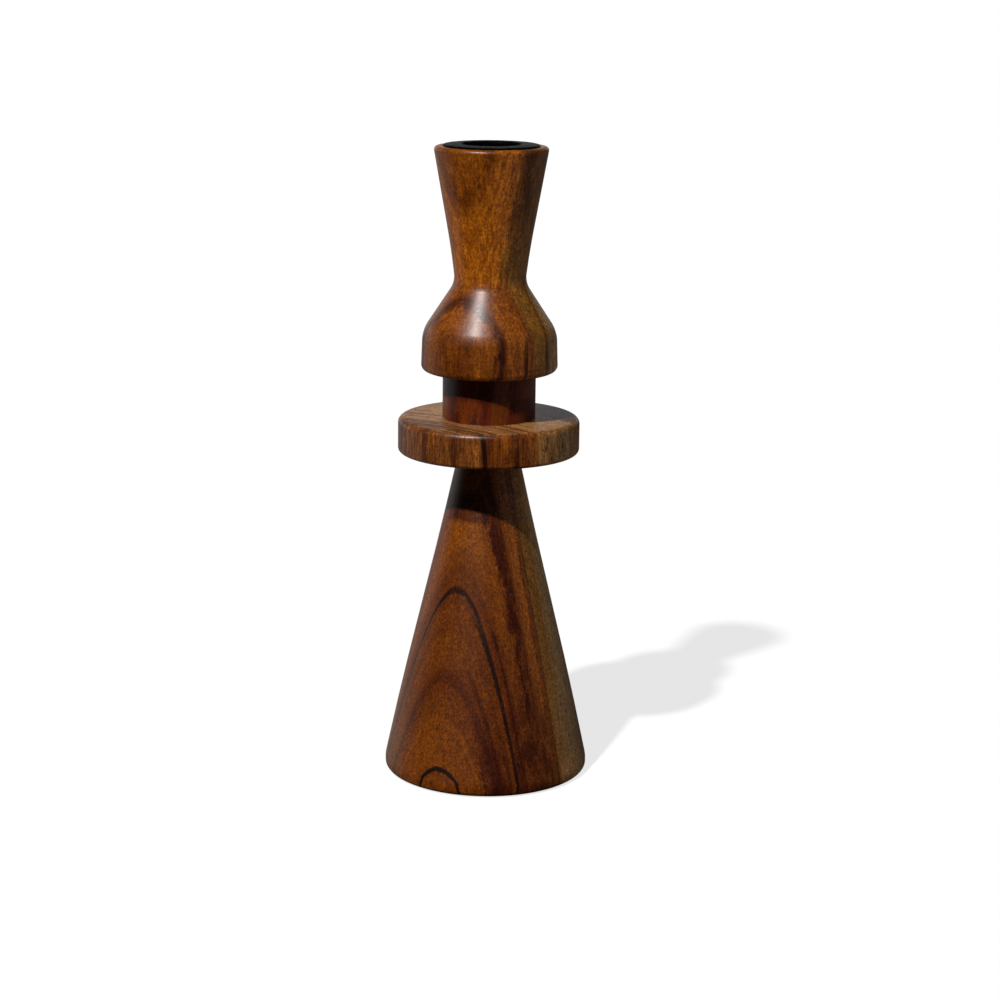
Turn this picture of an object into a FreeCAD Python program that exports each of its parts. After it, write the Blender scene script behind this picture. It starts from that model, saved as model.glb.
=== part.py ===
import FreeCAD
import Part
import math
import os

# A candle stand of turned hardwood: a tall conical foot, a round collar, a short neck, and a bell that
# runs up into a flared taper. A black metal cup in the top holds the candle.
# Lengths are in millimetres. +Z is up, and the origin is the middle of the underside.

# Foot: a long cone on a short upright band, with a faint swell low down and a faint hollow above it
foot_radius = 41.15
foot_height = 132.3
foot_band_height = 4.6
foot_band_round = 9.0
foot_base_round = 3.4
foot_top_radius = 11.8
flank_swell = 0.42
flank_swell_height_share = 0.25
flank_hollow = 0.22
flank_hollow_height_share = 0.76
flank_sweep = 900.0

# Collar: a flat disc with softened edges, the widest piece above the foot
collar_radius = 36.2
collar_thickness = 13.85
collar_lower_round = 1.5
collar_upper_round = 2.4

# Neck: a plain drum between the collar and the bell
neck_radius = 18.5
neck_length = 18.8

# Bell and taper: one turning, from the bell's flat underside to the rim round the cup
bell_radius = 27.25
bell_skirt_height = 15.75
bell_shoulder_radius = 26.6
bell_edge_round = 2.3
bell_shoulder_round = 12.5
waist_radius = 13.85
waist_height = 35.2
waist_round = 8.1
flare_radius = 15.65
flare_height = 49.05
flare_sweep = 250.0
rim_radius = 22.65
rim_round = 1.4
stem_length = 88.15

# Dowel: one long pin that lines up and holds all four turnings
dowel_radius = 6.0
dowel_foot_depth = 38.0
dowel_bell_depth = 20.0
dowel_end_bevel = 1.0
dowel_glue_gap = 0.1
dowel_end_gap = 0.8

# Cup: pressed from sheet, with a slightly domed flange, a straight wall and a dimpled floor
cup_bore_radius = 11.4
cup_depth = 24.0
cup_sheet = 0.9
cup_lip_round = 1.0
cup_crown_radius = 14.5
cup_crown_round = 20.0
cup_flange_radius = 19.05
cup_flange_fall = 0.2
cup_edge_slope_width = 0.55
cup_edge_height = 0.3
cup_edge_round = 0.6
cup_floor_round = 2.0
cup_dimple_radius = 3.4
cup_dimple_depth = 1.9
cup_hole_radius = 1.5
cup_seat_gap = 0.15
cup_floor_gap = 0.3
cup_seat_bevel = 0.8

# Screw: a small flat-headed wood screw through the cup's floor
screw_head_radius = 3.1
screw_head_gap = 0.05
screw_shank_radius = 1.25
screw_length = 13.0
screw_point_length = 2.6
screw_slot_width = 0.7
screw_slot_depth = 0.7
screw_pilot_gap = 0.05
screw_pilot_end_gap = 0.8

# Felt: a disc glued into a shallow recess under the foot, a little proud of the wood
felt_radius = 35.4
felt_thickness = 1.8
felt_proud = 0.3
felt_edge_round = 0.5
felt_recess_gap = 0.3

# The longest rounding at a corner takes this share of the shorter side next to it
rounding_limit_share = 0.49

# Heights of the joints, from the table up
collar_bottom = foot_height
collar_top = collar_bottom + collar_thickness
bell_bottom = collar_top + neck_length
wood_top = bell_bottom + stem_length
cup_top = wood_top + cup_sheet
cup_floor = cup_top - cup_depth
dowel_bottom = foot_height - dowel_foot_depth
dowel_top = bell_bottom + dowel_bell_depth
socket_radius = dowel_radius + dowel_glue_gap

AXIS_FOOT = FreeCAD.Vector(0, 0, 0)
AXIS = FreeCAD.Vector(0, 0, 1)


def point(radius, height):
    """A point of an outline, in the upright plane through the axis."""
    return FreeCAD.Vector(radius, 0, height)


def rounded(before, corner, after, radius):
    """The two ends and the middle of the arc that rounds one corner of an outline."""
    back = before - corner
    ahead = after - corner
    half_angle = back.getAngle(ahead) / 2
    reach = min(radius / math.tan(half_angle), rounding_limit_share * min(back.Length, ahead.Length))
    back.normalize()
    ahead.normalize()
    inward = back + ahead
    inward.normalize()
    arc_radius = reach * math.tan(half_angle)
    centre = corner + inward * (arc_radius / math.sin(half_angle))
    return corner + back * reach, centre - inward * arc_radius, corner + ahead * reach


def outline(corners):
    """A closed outline through corners of (radius, height) or (radius, height, rounding)."""
    places = [point(corner[0], corner[1]) for corner in corners]
    count = len(corners)
    arcs = []
    for i, corner in enumerate(corners):
        if len(corner) == 3:
            arcs.append(rounded(places[i - 1], places[i], places[(i + 1) % count], corner[2]))
        else:
            arcs.append((places[i], None, places[i]))
    edges = []
    for i, (start, middle, end) in enumerate(arcs):
        edges.append(Part.LineSegment(arcs[i - 1][2], start).toShape())
        if middle:
            edges.append(Part.Arc(start, middle, end).toShape())
    return Part.Wire(edges)


def turned(corners):
    """A solid turned round the axis from one half of its section."""
    return Part.Face(outline(corners)).revolve(AXIS_FOOT, AXIS, 360)


def flank_point(height_share, offset):
    """A point near the straight line of the cone, moved out by offset."""
    run = foot_height - foot_band_height
    radius = foot_radius + (foot_top_radius - foot_radius) * height_share
    return radius + offset, foot_band_height + run * height_share


def foot_cone():
    """The foot, with the felt's recess below and the dowel's socket above."""
    recess_radius = felt_radius + felt_recess_gap
    swell = flank_point(flank_swell_height_share, flank_swell)
    hollow = flank_point(flank_hollow_height_share, -flank_hollow)
    socket_end = dowel_bottom - dowel_end_gap
    return turned([
        (0, felt_thickness),
        (recess_radius, felt_thickness),
        (recess_radius, felt_proud),
        (foot_radius, felt_proud, foot_base_round),
        (foot_radius, foot_band_height, foot_band_round),
        (swell[0], swell[1], flank_sweep),
        (hollow[0], hollow[1], flank_sweep),
        (foot_top_radius, foot_height),
        (socket_radius, foot_height),
        (socket_radius, socket_end),
        (0, socket_end),
    ])


def collar_disc():
    """The collar, bored for the dowel."""
    return turned([
        (socket_radius, collar_bottom),
        (collar_radius, collar_bottom, collar_lower_round),
        (collar_radius, collar_top, collar_upper_round),
        (socket_radius, collar_top),
    ])


def neck_drum():
    """The neck, bored for the dowel."""
    return turned([
        (socket_radius, collar_top),
        (neck_radius, collar_top),
        (neck_radius, bell_bottom),
        (socket_radius, bell_bottom),
    ])


def bell_stem():
    """The bell and its taper, with the dowel's socket below and the cup's seat above."""
    socket_end = dowel_top + dowel_end_gap
    seat_radius = cup_bore_radius + cup_sheet + cup_seat_gap
    seat_floor = cup_floor - cup_sheet - cup_floor_gap
    dimple_radius = cup_dimple_radius + cup_sheet + cup_floor_gap
    pilot_radius = screw_shank_radius + screw_pilot_gap
    pilot_end = cup_floor - screw_length - screw_pilot_end_gap
    return turned([
        (0, socket_end),
        (socket_radius, socket_end),
        (socket_radius, bell_bottom),
        (bell_radius, bell_bottom, bell_edge_round),
        (bell_shoulder_radius, bell_bottom + bell_skirt_height, bell_shoulder_round),
        (waist_radius, bell_bottom + waist_height, waist_round),
        (flare_radius, bell_bottom + flare_height, flare_sweep),
        (rim_radius, wood_top, rim_round),
        (seat_radius + cup_seat_bevel, wood_top),
        (seat_radius, wood_top - cup_seat_bevel),
        (seat_radius, seat_floor),
        (dimple_radius, seat_floor),
        (pilot_radius, seat_floor - cup_dimple_depth),
        (pilot_radius, pilot_end),
        (0, pilot_end),
    ])


def centre_dowel():
    """The dowel, bevelled at both ends so that it starts easily."""
    return turned([
        (0, dowel_bottom),
        (dowel_radius - dowel_end_bevel, dowel_bottom),
        (dowel_radius, dowel_bottom + dowel_end_bevel),
        (dowel_radius, dowel_top - dowel_end_bevel),
        (dowel_radius - dowel_end_bevel, dowel_top),
        (0, dowel_top),
    ])


def candle_cup():
    """The cup: its flange rests on the wood, and a dimple in its floor takes the screw's head."""
    wall_radius = cup_bore_radius + cup_sheet
    return turned([
        (cup_hole_radius, cup_floor - cup_dimple_depth),
        (cup_dimple_radius, cup_floor),
        (cup_bore_radius, cup_floor, cup_floor_round),
        (cup_bore_radius, cup_top, cup_lip_round),
        (cup_crown_radius, cup_top, cup_crown_round),
        (cup_flange_radius - cup_edge_slope_width, cup_top - cup_flange_fall, cup_edge_round),
        (cup_flange_radius, wood_top + cup_edge_height, cup_edge_round),
        (cup_flange_radius, wood_top),
        (wall_radius, wood_top),
        (wall_radius, cup_floor - cup_sheet, cup_floor_round + cup_sheet),
        (cup_dimple_radius + cup_sheet / 2, cup_floor - cup_sheet),
        (cup_hole_radius, cup_floor - cup_dimple_depth - cup_sheet),
    ])


def cup_screw():
    """The screw, its head lying in the dimple, with a slot across it."""
    dimple_slope = cup_dimple_depth / (cup_dimple_radius - cup_hole_radius)
    head_top = cup_floor - (cup_dimple_radius - screw_head_radius) * dimple_slope + screw_head_gap
    neck_height = head_top - (screw_head_radius - screw_shank_radius) * dimple_slope
    tip = cup_floor - screw_length
    body = turned([
        (0, tip),
        (screw_shank_radius, tip + screw_point_length),
        (screw_shank_radius, neck_height),
        (screw_head_radius, head_top),
        (0, head_top),
    ])
    slot = Part.makeBox(2 * screw_head_radius, screw_slot_width, screw_slot_depth)
    slot.translate(FreeCAD.Vector(-screw_head_radius, -screw_slot_width / 2, head_top - screw_slot_depth))
    return body.cut(slot)


def base_felt():
    """The felt disc, its lower edge slightly rounded."""
    return turned([
        (0, 0),
        (felt_radius, 0, felt_edge_round),
        (felt_radius, felt_thickness),
        (0, felt_thickness),
    ])


pieces = {
    "foot_cone": foot_cone,
    "collar_disc": collar_disc,
    "neck_drum": neck_drum,
    "bell_stem": bell_stem,
    "centre_dowel": centre_dowel,
    "candle_cup": candle_cup,
    "cup_screw": cup_screw,
    "base_felt": base_felt,
}

os.makedirs("parts", exist_ok=True)
for name, make in pieces.items():
    shape = make()
    shape.exportStep("parts/" + name + ".step")
    print(name, "valid" if shape.isValid() else "NOT VALID", round(shape.Volume))
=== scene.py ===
import math

import bmesh
import bpy
from bpy.props import FloatProperty, FloatVectorProperty, IntProperty, PointerProperty
from bpy.types import Operator, Panel, PropertyGroup
from mathutils import Matrix, Vector


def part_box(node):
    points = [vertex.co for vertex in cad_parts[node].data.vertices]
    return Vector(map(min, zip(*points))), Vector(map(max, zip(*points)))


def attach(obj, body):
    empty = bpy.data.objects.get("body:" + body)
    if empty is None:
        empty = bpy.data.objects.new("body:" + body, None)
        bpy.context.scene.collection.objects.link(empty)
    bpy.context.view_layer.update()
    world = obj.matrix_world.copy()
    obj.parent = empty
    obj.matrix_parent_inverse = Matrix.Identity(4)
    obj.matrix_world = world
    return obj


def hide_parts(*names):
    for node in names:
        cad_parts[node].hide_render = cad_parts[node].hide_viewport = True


bl_info = {
    "name": "Turned Candle Stand",
    "version": (1, 0, 0),
    "blender": (4, 5, 0),
    "location": "View3D > Sidebar > Candle Stand",
    "description": "Builds the visible pieces of a turned hardwood candle stand",
    "category": "Object",
}

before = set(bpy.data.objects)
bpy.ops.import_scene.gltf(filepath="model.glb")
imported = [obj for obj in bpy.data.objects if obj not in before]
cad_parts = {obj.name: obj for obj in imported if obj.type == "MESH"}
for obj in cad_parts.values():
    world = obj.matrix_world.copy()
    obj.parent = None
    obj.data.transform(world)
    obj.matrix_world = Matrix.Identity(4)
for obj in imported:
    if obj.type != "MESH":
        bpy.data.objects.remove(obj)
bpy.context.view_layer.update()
BODY = "root"
MM = 0.001

# A rounding takes at most this share of the shorter side next to it
ROUNDING_LIMIT_SHARE = 0.49

# Edges sharper than this stay crisp, and points nearer than this are one
SHARP_ANGLE = math.radians(32)
SAME_PLACE = 0.001 * MM

# Where the cone swells and draws in, as a share of its height above the band
SWELL_SHARE = 0.25
HOLLOW_SHARE = 0.76

# How finely each pattern of the wood varies along X, Y and Z, per millimetre. The grain runs along Z.
GRAIN = {
    "slow_wander": (0.045, 0.045, 0.018),
    "quick_wander": (0.4, 0.4, 0.12),
    "fibre": (1.3, 1.3, 0.11),
    "mottle": (0.34, 0.34, 0.085),
    "speckle": (1.3, 1.3, 0.9),
    "fleck": (0.75, 0.75, 0.34),
    "pore": (0.95, 0.95, 0.24),
    "pore_bend": (0.3, 0.3, 0.2),
}

# How far slow and quick bends move the growth layers, in millimetres
SLOW_WANDER, QUICK_WANDER = 3.0, 0.5

# Levels between which a band breaks up, a fleck fills in and a pore fills in
FIBRE_GAP, FLECK_EDGE, PORE_EDGE = (0.42, 0.66), (0.54, 0.68), (0.30, 0.17)

# How strongly the noise patterns tint and roughen the oiled wood
NOISE_SPREAD = (0.25, 0.75)
STRAY_SPECKLE = 0.7
RING_TONE = 0.09
GREEN_POWER, BLUE_POWER = 1.2, 1.3
END_GRAIN_FACING = (0.8, 0.97)
END_GRAIN_DASH_LOSS = 0.7
WOOD_ROUGHNESS, FIBRE_ROUGHNESS, END_ROUGHNESS, PORE_ROUGHNESS = 0.31, 0.12, 0.05, 0.25
WOOD_SPECULAR, ENAMEL_SPECULAR = 0.46, 0.014
FIBRE_RELIEF = 0.35

# Colours of the other materials, in linear light
ENAMEL, DUST = (0.0015, 0.0015, 0.0018), (0.03, 0.028, 0.026)
ZINC_DARK, ZINC_LIGHT = (0.30, 0.29, 0.27), (0.52, 0.51, 0.48)
DOWEL_DARK, DOWEL_LIGHT, DOWEL_PORE = (0.36, 0.22, 0.11), (0.58, 0.40, 0.23), (0.22, 0.12, 0.05)
FELT_DARK, FELT_LIGHT, FELT_CLOUD = (0.018, 0.015, 0.013), (0.075, 0.066, 0.058), (0.05, 0.043, 0.037)

# Directions over which a wall of the room fades in, as shares of the way along one axis
BACK_WALL = (0.0, 0.9)
RIGHT_WALL = (0.3, 0.9)
BACKDROP_SIDE = (0.6, 0.9)
BACKDROP_HEIGHT = (0.4, 0.2)
BACKDROP_LEFTWARD = -0.4

# Places on the floor between which its light changes, in metres
GLOSS_DEPTH = (-0.05, 0.02)
GLOSS_SIDE = (-0.03, 0.05)
BOUNCE_SIDE = (0.02, 0.25)

# How much of the room's light reaches the floor near the stand
ROOM_ON_FLOOR = 0.1

WHITE = (1, 1, 1)
SENSOR_WIDTH = 36


def node_box(node):
    """Lowest height, highest height and radius of a turned node, in metres."""
    low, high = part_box(node)
    return low.z, high.z, high.x


FOOT_LOW, FOOT_TOP, FOOT_RADIUS = node_box("foot_cone")
COLLAR_LOW, COLLAR_TOP, COLLAR_RADIUS = node_box("collar_disc")
NECK_LOW, NECK_TOP, NECK_RADIUS = node_box("neck_drum")
BELL_LOW, WOOD_TOP, BELL_RADIUS = node_box("bell_stem")
_, CUP_TOP, FLANGE_RADIUS = node_box("candle_cup")
FELT_LOW, FELT_TOP, FELT_RADIUS = node_box("base_felt")
DOWEL_LOW, DOWEL_TOP, _ = node_box("centre_dowel")


def length(name, millimetres, description):
    """A length property, given in millimetres and held in metres."""
    return FloatProperty(name=name, description=description, default=millimetres * MM, unit="LENGTH", precision=5)


def number(name, value, description, **limits):
    """A plain number property."""
    return FloatProperty(name=name, description=description, default=value, **limits)


def angle(name, degrees, description):
    """An angle property, given in degrees and held in radians."""
    return FloatProperty(name=name, description=description, default=math.radians(degrees), subtype="ANGLE")


def colour(name, rgb, description):
    """A colour property in linear light."""
    return FloatVectorProperty(name=name, description=description, default=rgb, size=3, subtype="COLOR", min=0, max=1)


class TurningSizes(PropertyGroup):
    """Sizes of the turned profiles that the frame's boxes don't give."""

    segments: IntProperty(name="Segments", description="Steps round the axis", default=192, min=32)
    round_segments: IntProperty(name="Rounding steps", description="Steps along a rounded edge", default=8, min=2)
    socket_radius: length("Dowel socket", 6.1, "Radius of the holes that the dowel stands in")
    socket_end_gap: length("Dowel end gap", 0.8, "Room past each end of the dowel")
    recess_gap: length("Felt gap", 0.3, "Gap between the felt and the wood round it")
    foot_band: length("Foot band", 4.6, "Height of the upright band at the foot's edge")
    foot_band_round: length("Foot band rounding", 9.0, "Rounding from the band into the cone")
    foot_edge_round: length("Foot edge rounding", 3.4, "Rounding of the foot's lower edge")
    foot_top: length("Foot top", 11.8, "Radius of the cone under the collar")
    flank_swell: length("Flank swell", 0.42, "How far the cone stands out low down")
    flank_hollow: length("Flank hollow", 0.22, "How far the cone draws in higher up")
    flank_sweep: length("Flank sweep", 900.0, "Radius of the cone's long curves")
    collar_lower_round: length("Collar lower rounding", 1.5, "Rounding of the collar's lower edge")
    collar_upper_round: length("Collar upper rounding", 2.4, "Rounding of the collar's upper edge")
    bell_edge_round: length("Bell edge rounding", 2.3, "Rounding of the bell's lower edge")
    bell_skirt: length("Bell skirt", 15.75, "Height of the bell's upright skirt")
    bell_shoulder: length("Bell shoulder", 26.6, "Radius of the bell at its shoulder")
    bell_shoulder_round: length("Bell shoulder rounding", 12.5, "Rounding of the bell's shoulder")
    waist: length("Waist", 13.85, "Radius of the waist above the bell")
    waist_height: length("Waist height", 35.2, "Height of the waist above the bell's underside")
    waist_round: length("Waist rounding", 8.1, "Rounding of the waist")
    flare: length("Flare", 15.65, "Radius of the taper where it begins to flare")
    flare_height: length("Flare height", 49.05, "Height of that place above the bell's underside")
    flare_sweep: length("Flare sweep", 250.0, "Radius of the taper's long curve")
    rim: length("Rim", 22.65, "Radius of the wood's rim round the cup")
    rim_round: length("Rim rounding", 1.4, "Rounding of the wood's rim")
    felt_edge_round: length("Felt edge rounding", 0.5, "Rounding of the felt's lower edge")


class CupSizes(PropertyGroup):
    """Sizes of the metal cup that the frame's boxes don't give."""

    bore: length("Bore", 11.4, "Inner radius of the cup")
    sheet: length("Sheet", 0.9, "Thickness of the metal")
    depth: length("Depth", 24.0, "Depth of the cup from the flange's face")
    lip_round: length("Lip rounding", 1.0, "Rounding of the cup's mouth")
    crown: length("Crown", 14.5, "Radius where the flange begins to fall")
    crown_round: length("Crown rounding", 20.0, "Rounding of the flange's face there")
    flange_fall: length("Flange fall", 0.2, "How far the flange falls towards its edge")
    edge_slope: length("Edge slope", 0.55, "Width of the slope at the flange's edge")
    edge_height: length("Edge height", 0.3, "Height of the flange's upright edge")
    edge_round: length("Edge rounding", 0.6, "Rounding of the flange's edge")
    floor_round: length("Floor rounding", 2.0, "Rounding between the wall and the floor")
    dimple: length("Dimple", 3.4, "Radius of the dimple in the floor")
    dimple_depth: length("Dimple depth", 1.9, "Depth of the dimple")
    hole: length("Hole", 1.5, "Radius of the screw's hole")
    seat_gap: length("Seat gap", 0.15, "Gap between the cup's wall and the wood")
    floor_gap: length("Floor gap", 0.3, "Gap under the cup's floor")
    seat_bevel: length("Seat bevel", 0.8, "Bevel at the mouth of the cup's seat")


class WoodColours(PropertyGroup):
    """Colours of the hardwood and its dark growth lines."""

    gold: colour("Gold", (0.425, 0.112, 0.0030), "The wood's lightest orange")
    honey: colour("Honey", (0.225, 0.055, 0.0014), "The wood's light orange-brown")
    amber: colour("Amber", (0.155, 0.035, 0.0010), "The wood's common orange-brown")
    sienna: colour("Sienna", (0.120, 0.025, 0.0007), "The wood's deeper orange-brown")
    russet: colour("Russet", (0.090, 0.0155, 0.0005), "The wood's red-brown")
    garnet: colour("Garnet", (0.120, 0.0125, 0.0010), "The neck's deep red-brown")
    # Umber is also the colour of the painted shade under the collar, under the bell and down the neck's shaded side
    umber: colour("Umber", (0.040, 0.0042, 0.0008), "The wood's dark red streaks")
    olive: colour("Olive", (0.200, 0.074, 0.0055), "The wood's green-brown side")
    drab: colour("Drab", (0.145, 0.045, 0.0045), "The wood's dark green-brown")
    taupe: colour("Taupe", (0.270, 0.140, 0.0450), "The wood's grey-brown side")
    # Tan also paints light on the foot's lower band at the right
    tan: colour("Tan", (0.400, 0.190, 0.0650), "The collar's pale top")
    line: colour("Line", (0.010, 0.003, 0.0015), "The dark growth lines")
    pore: colour("Pore", (0.030, 0.0055, 0.0013), "The short open pores")


class StageSettings(PropertyGroup):
    """The camera, the lamp, the room's light and the pale floor."""

    camera_distance: length("Camera distance", 918.6, "How far the camera stands in front of the axis")
    camera_height: length("Camera height", 334.2, "Height of the camera above the table")
    camera_pitch: angle("Camera pitch", 13.61, "How far the camera looks down")
    camera_roll: angle("Camera roll", 0.587, "How far the camera leans")
    focal_length: number("Focal length", 84.63, "Lens, on a sensor 36 mm wide")
    framing: number("Framing", 0.012, "Sideways shift of the picture")
    key_strength: number("Key", 1.0, "Light of the key lamp, where 1 shows a colour as written", min=0)
    key_softness: angle("Key softness", 2.4, "How wide the key lamp looks from the stand")
    key_side: angle("Key side", 33.5, "How far left of the viewer the key lamp stands")
    key_height: angle("Key height", 48.6, "Angle of the key lamp above the table")
    room_front: number("Room in front", 0.006, "Light of the room behind the viewer", min=0)
    room_right: number("Room at the right", 0.5, "Light of a pale wall at the viewer's right", min=0)
    room_back: number("Room behind", 0.12, "Light that the white backdrop throws on the stand", min=0)
    backdrop: number("Backdrop", 0.75, "Light of the white backdrop as the gloss mirrors it", min=0)
    floor_width: length("Floor width", 12000.0, "Width of the pale floor")
    floor_colour: colour("Floor", (0.30, 0.30, 0.30), "The floor's own colour before it is lifted to white")
    floor_bounce: number("Floor bounce", 0.06, "How much light the floor throws back", min=0, max=1)
    floor_bounce_right: number("Floor bounce at the right", 0.42, "The same, far at the right", min=0, max=1)
    floor_gloss: number("Floor gloss", 0.42, "How white the gloss mirrors the floor at the left", min=0, max=1)
    floor_gloss_right: number("Floor gloss at the right", 0.08, "The same at the right", min=0, max=1)


# Meshes


def corner_reach(before, corner, after, radius):
    """How far along its two sides a rounding of this radius reaches from a corner."""
    back = Vector(before) - Vector(corner)
    ahead = Vector(after) - Vector(corner)
    return min(radius / math.tan(back.angle(ahead) / 2), ROUNDING_LIMIT_SHARE * min(back.length, ahead.length))


def finished_mesh(name, bm):
    """The mesh that a bmesh holds, which is freed."""
    mesh = bpy.data.meshes.new(name)
    bm.to_mesh(mesh)
    bm.free()
    return mesh


def new_object(name, data):
    """An object of the scene."""
    made = bpy.data.objects.new(name, data)
    bpy.context.scene.collection.objects.link(made)
    return made


def turned_mesh(name, corners, closed=False):
    """A mesh turned round the axis from corners of (radius, height) or (radius, height, rounding)."""
    sizes = bpy.context.scene.candle_turning
    bm = bmesh.new()
    verts = [bm.verts.new((corner[0], 0, corner[1])) for corner in corners]
    count = len(verts)
    for i in range(count - 1 + closed):
        bm.edges.new((verts[i], verts[(i + 1) % count]))
    rounded = [(verts[i], corner_reach(corners[i - 1][:2], corner[:2], corners[(i + 1) % count][:2], corner[2]))
               for i, corner in enumerate(corners) if len(corner) == 3]
    for vert, reach in rounded:
        bmesh.ops.bevel(bm, geom=[vert], offset=reach, offset_type="OFFSET", affect="VERTICES",
                        segments=sizes.round_segments, profile=0.5, material=-1, clamp_overlap=False)
    bmesh.ops.spin(bm, geom=bm.verts[:] + bm.edges[:], cent=(0, 0, 0), axis=(0, 0, 1), dvec=(0, 0, 0),
                   angle=math.tau, steps=sizes.segments, use_merge=True,
                   use_normal_flip=False, use_duplicate=False)
    bmesh.ops.remove_doubles(bm, verts=bm.verts[:], dist=SAME_PLACE)
    bmesh.ops.recalc_face_normals(bm, faces=bm.faces[:])
    mesh = finished_mesh(name, bm)
    mesh.shade_smooth()
    mesh.set_sharp_from_angle(angle=SHARP_ANGLE)
    return mesh


def add_piece(name, mesh, material, slot, *nodes):
    """Puts a finished piece in the scene in place of its CAD nodes."""
    piece = new_object(name, mesh)
    mesh.materials.clear()
    mesh.materials.append(material)
    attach(piece, BODY)
    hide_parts(*nodes)
    return piece


def paint_node(node, material):
    """Gives a CAD node that stays in view its finished material."""
    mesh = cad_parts[node].data
    mesh.materials.clear()
    mesh.materials.append(material)


# Shader building


class Shading:
    """Adds nodes to one material or node group. A value is a number, a colour or another node's socket."""

    def __init__(self, tree):
        self.tree = tree

    def set(self, socket, value):
        if isinstance(value, bpy.types.NodeSocket):
            self.tree.links.new(value, socket)
        elif value is not None:
            if socket.type == "RGBA" and len(value) == 3:
                value = (*value, 1)
            socket.default_value = value

    def node(self, kind, inputs=(), **settings):
        """A node with its settings, and its inputs given by name or by number."""
        made = self.tree.nodes.new(kind)
        for key, value in settings.items():
            setattr(made, key, value)
        for key, value in dict(inputs).items():
            self.set(made.inputs[key], value)
        return made

    def math(self, operation, a, b=None, c=None, clamp=False):
        made = self.node("ShaderNodeMath", {0: a, 1: b, 2: c}, operation=operation, use_clamp=clamp)
        return made.outputs[0]

    def fade(self, value, low, high, start=0.0, end=1.0):
        """A smooth change from start at low to end at high."""
        made = self.node("ShaderNodeMapRange",
                         {"Value": value, "From Min": low, "From Max": high, "To Min": start, "To Max": end},
                         interpolation_type="SMOOTHSTEP")
        return made.outputs["Result"]

    def mix(self, amount, a, b, blend="MIX"):
        """A mix of two colours."""
        made = self.tree.nodes.new("ShaderNodeMix")
        made.data_type = "RGBA"
        made.blend_type = blend
        self.set(made.inputs[0], amount)
        self.set(made.inputs[6], a)
        self.set(made.inputs[7], b)
        return made.outputs[2]

    def stretch(self, vector, scale):
        """A vector scaled along each axis."""
        return self.node("ShaderNodeVectorMath", {0: vector, 1: scale}, operation="MULTIPLY").outputs[0]

    def product(self, *factors):
        """Two or more values multiplied."""
        made = factors[0]
        for factor in factors[1:]:
            made = self.math("MULTIPLY", made, factor)
        return made

    def mirrored(self, path):
        """A mask of the rays that gloss or glass sends out."""
        return self.math("MAXIMUM", path["Is Glossy Ray"], path["Is Transmission Ray"])

    def noise(self, vector, scale=1.0, detail=2.0, roughness=0.5, distortion=0.0):
        made = self.node("ShaderNodeTexNoise",
                         {"Vector": vector, "Scale": scale, "Detail": detail, "Roughness": roughness,
                          "Distortion": distortion}, noise_dimensions="3D")
        return made.outputs[0]

    def noise_line(self, w, scale=1.0, detail=2.0, roughness=0.5):
        """Noise along one coordinate only."""
        made = self.node("ShaderNodeTexNoise",
                         {"W": w, "Scale": scale, "Detail": detail, "Roughness": roughness}, noise_dimensions="1D")
        return made.outputs[0]

    def add_seed(self, vector, seed):
        """A vector moved along X, so that each piece has its own part of a pattern."""
        shift = self.node("ShaderNodeCombineXYZ", {0: seed}).outputs[0]
        return self.node("ShaderNodeVectorMath", {0: vector, 1: shift}, operation="ADD").outputs[0]

    def ramp(self, value, stops):
        """Colours along a value, from (place, colour) stops in order."""
        low, high = stops[0][0], stops[-1][0]
        made = self.node("ShaderNodeValToRGB", {0: self.node(
            "ShaderNodeMapRange", {"Value": value, "From Min": low, "From Max": high}).outputs[0]})
        points = made.color_ramp.elements
        for place, tint in stops[1:-1]:
            points.new((place - low) / (high - low)).color = (*tint, 1)
        points[0].color = (*stops[0][1], 1)
        points[-1].color = (*stops[-1][1], 1)
        return made.outputs[0]

    def group(self, tree, **inputs):
        made = self.tree.nodes.new("ShaderNodeGroup")
        made.node_tree = tree
        for key, value in inputs.items():
            self.set(made.inputs[key.replace("_", " ")], value)
        return made.outputs


def new_group(name, inputs, outputs):
    """A node group with its sockets, its builder and its inner ends."""
    tree = bpy.data.node_groups.new(name, "ShaderNodeTree")
    for label, kind, default in inputs:
        socket = tree.interface.new_socket(name=label, in_out="INPUT", socket_type="NodeSocket" + kind)
        if default is not None:
            socket.default_value = default
    for label, kind in outputs:
        tree.interface.new_socket(name=label, in_out="OUTPUT", socket_type="NodeSocket" + kind)
    source = tree.nodes.new("NodeGroupInput")
    sink = tree.nodes.new("NodeGroupOutput")
    return tree, Shading(tree), source.outputs, sink.inputs


def grain_wander_group():
    """How far the growth layers stray from their place, in millimetres."""
    tree, s, given, out = new_group(
        "Grain Wander", [("Position", "Vector", None), ("Amount", "Float", 1.0), ("Seed", "Float", 0.0)],
        [("Shift", "Float")])
    seeded = s.add_seed(given["Position"], given["Seed"])
    slow = s.noise(s.stretch(seeded, GRAIN["slow_wander"]), detail=1.0)
    quick = s.noise(s.stretch(seeded, GRAIN["quick_wander"]))
    slow_shift = s.math("MULTIPLY", s.math("SUBTRACT", slow, 0.5), SLOW_WANDER)
    quick_shift = s.math("MULTIPLY", s.math("SUBTRACT", quick, 0.5), QUICK_WANDER)
    s.set(out["Shift"], s.math("MULTIPLY", s.math("ADD", slow_shift, quick_shift), given["Amount"]))
    return tree


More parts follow.
